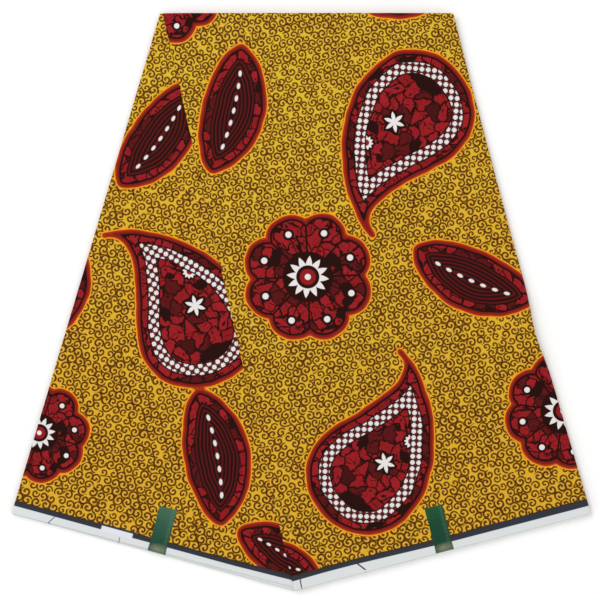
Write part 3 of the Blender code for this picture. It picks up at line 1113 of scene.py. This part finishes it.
def selvedge_inks(add, flat, along, up):
    """The bare white edge, its navy line, short navy ticks and a blank white tab.

    A tick or the tab is a box: the greater of the distances past its ends and its sides.
    """
    ripple = add("TexNoise", flat, *NAVY_NOISE, noise_dimensions="2D")
    wavy = add("MULTIPLY_ADD", ripple, NAVY_WAVE, up)
    wavy = add("SUBTRACT", wavy, add("MapRange", along, *NAVY_BROADENS))
    line_top = NAVY_TOP + NAVY_WAVE / 2
    inks = [(wavy, line_top + NAVY_BLEED, NAVY_EDGE), (wavy, line_top, NAVY)]
    inks.append((up, NAVY_FOOT, SELVEDGE_WHITE))
    for (x, y), (end_x, end_y), half_width, ink in SELVEDGE_MARKS:
        turn = math.atan2(end_y - y, end_x - x)
        half_length = math.hypot(end_x - x, end_y - y) / 2
        middle = ((x + end_x) / 2, (y + end_y) / 2, 0)
        own = add("Mapping", flat, vector_type="TEXTURE", Location=middle, Rotation=(0, 0, turn))
        past = add("VectorMath.ABSOLUTE", own)
        past = add("VectorMath.SUBTRACT", past, (half_length, half_width, 0))
        past_end, past_side, _ = add("SeparateXYZ", past, output=None)
        inks.append((add("MAXIMUM", past_end, past_side), 0.0, ink))
    return inks


def make_wax_print():
    """Plain-woven cotton with a wax print: matt dyed thread, slightly glazed by its finish.

    The dyes go right through, so both sides look alike. Roughness stays high and even.
    """
    material, add, shader = new_material("wax_printed_cotton")
    cloth = add("UVMap", uv_map="cloth")
    flat = add("VectorMath.MULTIPLY", cloth, (1000, 1000, 0))
    along, up, _ = add("SeparateXYZ", flat, output=None)
    drawn, shake = shaken(add, flat, HAND_NOISE, CURL_WAVER)
    edge = add("Attribute", attribute_name="motif_edge", output="Fac")
    edge = add("MULTIPLY_ADD", add("SeparateXYZ", shake), OUTLINE_WAVER, edge)
    place = add("Attribute", attribute_name="motif_place", output="Vector")

    noises = (DYE_NOISE, INK_NOISE, SLUB_NOISE)
    noises = [add("TexNoise", flat, *noise, noise_dimensions="2D") for noise in noises]
    patchy, mottle, slubs = noises
    # Patchy dye tone, plus painted glare: ground and ink paler towards the top fold, deeper and
    # more orange lower down
    dye_and_glare = add("ADD", patchy, add("MapRange", up, *GLARE_FADE), use_clamp=True)
    ground = painted(add, GROUND_YELLOW, (dye_and_glare, GROUND_ORANGE))
    ink = painted(add, INK_BROWN, (dye_and_glare, INK_BLACK))

    away = add("ABSOLUTE", add("SUBTRACT", along, NAVY_SWELL_PLACE))
    above = add("SUBTRACT", up, add("MapRange", away, *NAVY_SWELL))
    curl, radius = curls(add, drawn, up)
    for bare, distance in ((CURL_FREE, edge), (NAVY_TOP - CURLS_OVERLAP, above)):
        curl = add("MAXIMUM", curl, add("SUBTRACT", bare, distance))
    ink_mask = add("MULTIPLY", covered(add, curl), add("MapRange", mottle, *INK_WEAR))
    tan = add("MapRange", radius, *TAN_FADE)
    halo = add("MapRange", edge, *HALO_FADE)
    colour = painted(add, ground, (tan, GROUND_TAN), (halo, HALO_ORANGE), (ink_mask, ink))
    inside = motif_colour(add, edge, place)
    inks = [(edge, limit, ink) for limit, ink in (*RIMS, (RIM_INSIDE, inside))]
    colour = printed(add, colour, inks + selvedge_inks(add, flat, along, above))

    weave = add("VectorMath.MULTIPLY", cloth, (math.tau / WEAVE_PITCH,) * 3)
    warp, weft, _ = add("SeparateXYZ", add("VectorMath.SINE", weave), output=None)
    height = add("MULTIPLY_ADD", slubs, SLUB_HEIGHT, add("MULTIPLY", warp, weft))
    bump = add("Bump", Height=height, Strength=0.35, Distance=0.00006)
    fill(shader, {
        "Base Color": colour, "Roughness": add("MapRange", mottle, *COTTON_ROUGHNESS),
        "Specular IOR Level": 0.05, "Sheen Weight": 0.02, "Sheen Roughness": 0.5, "Normal": bump,
    })
    return material


def make_label_foil():
    """Printed paper foil under a thin lacquer: dark green, paler towards its upper end.

    It has paler green flecks in a band along one side, and the left label's lacquer is worn
    greyer. The lower end has lost its green in a plain worn patch. Lacquer gives a soft gloss.
    """
    material, add, shader = new_material("green_lacquered_foil")
    flat = add("VectorMath.MULTIPLY", add("UVMap", uv_map="cloth"), (1000, 1000, 0))
    across, up, _ = add("SeparateXYZ", flat, output=None)
    metres = add("TexCoord", output="Object")
    clouds = add("TexNoise", metres, *CLOUD_NOISE)
    share = add("MULTIPLY", up, GREEN_RISE / (LABEL_LENGTH * 1000))
    share = add("MULTIPLY_ADD", clouds, GREEN_CLOUDS, share)
    left, right = [add("ValToRGB", share, stops=stops) for stops in LABEL_GREENS]
    is_right = add("GREATER_THAN", add("SeparateXYZ", metres), 0.0)
    green = painted(add, left, (is_right, right))
    # Paler green flecks in a band along one side of each label
    from_band = add("ABSOLUTE", add("SUBTRACT", across, FLECK_BAND))
    flecks = add("TexNoise", flat, *FLECK_NOISE, noise_dimensions="2D")
    pale_flecks = add("SUBTRACT", add("MULTIPLY", flecks, FLECK_REACH), from_band)
    pale_flecks = add("MapRange", pale_flecks, *FLECK_FADE)
    worn = add("VectorMath.SUBTRACT", flat, WORN_CENTRE)
    worn = add("VectorMath.LENGTH", add("VectorMath.MULTIPLY", worn, WORN_STRETCH))
    worn = add("MULTIPLY_ADD", clouds, WORN_CLOUDS, worn)
    worn = add("MapRange", worn, *WORN_FADE)
    tan = add("ValToRGB", clouds, stops=((0.4, "#7E7C64"), (0.6, "#9AA084")))
    creases = add("TexNoise", flat, *CREASE_NOISE, noise_dimensions="2D")
    bump = add("Bump", Height=creases, Strength=0.5, Distance=0.0001)
    fill(shader, {
        "Base Color": painted(add, green, (pale_flecks, "#7D9C8C"), (worn, tan)),
        "Roughness": add("MapRange", clouds, *FOIL_ROUGHNESS),
        "Specular IOR Level": 0.08, "Normal": bump,
    })
    return material


def make_floor():
    """A pale, matt, painted board."""
    material, _, shader = new_material("matt_white_board")
    fill(shader, {"Base Color": "#FBFBFA", "Roughness": 0.9, "Specular IOR Level": 0.1})
    mesh = bpy.data.meshes.new("floor")
    corners = np.array([(-1, -1, 0), (1, -1, 0), (1, 1, 0), (-1, 1, 0)]) * FLOOR_HALF
    mesh.from_pydata(corners.tolist(), [], [(0, 1, 2, 3)])
    mesh.materials.append(material)
    floor = placed("floor", mesh)


def add_camera():
    """Looks straight down, as the photograph does, from far enough to look nearly flat."""
    data = bpy.data.cameras.new("camera")
    data.sensor_width = 36
    distance = CAMERA_HEIGHT - CLOTH_LEVEL
    data.lens = data.sensor_width * distance / VIEW_WIDTH
    data.dof.use_dof = False
    camera = placed("camera", data)
    camera.location = (*VIEW_CENTRE, CAMERA_HEIGHT)
    bpy.context.scene.camera = camera


def add_light():
    """Even white surroundings, and one broad lamp from the upper left."""
    world = bpy.data.worlds.new("surroundings")
    world.use_nodes = True
    background = world.node_tree.nodes["Background"]
    fill(background, {"Color": "#FFFFFF", "Strength": WORLD_STRENGTH})
    bpy.context.scene.world = world
    bpy.context.scene.view_settings.view_transform = "Standard"
    data = bpy.data.lights.new("broad_lamp", "AREA")
    data.shape = "DISK"
    data.size = LAMP_SIZE
    data.energy = LAMP_WATTS
    lamp = placed("broad_lamp", data)
    lamp.location = LAMP_PLACE
    lamp.rotation_euler = (-LAMP_PLACE).to_track_quat("-Z", "Y").to_euler()


def dress(piece, node):
    """Ties a piece to the body, and hides the part of the solids that it replaces."""
    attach(piece, "root")
    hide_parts(node)


add_camera()
wax_print = make_wax_print()
foil = make_label_foil()
folds = make_hidden_folds(wax_print)
left_leaf = make_left_leaf(wax_print)
right_leaf = make_right_leaf(wax_print)
labels = {
    "left": make_label("left", LEFT_CORNER, LEFT_TOP, LEFT_RIPPLE, foil),
    "right": make_label("right", RIGHT_CORNER, RIGHT_TOP, RIGHT_RIPPLE, foil),
}
dress(folds, "inner_folds")
dress(left_leaf, "left_leaf")
dress(right_leaf, "right_leaf")
for side, label in labels.items():
    dress(label, f"{side}_label")

make_floor()
add_light()
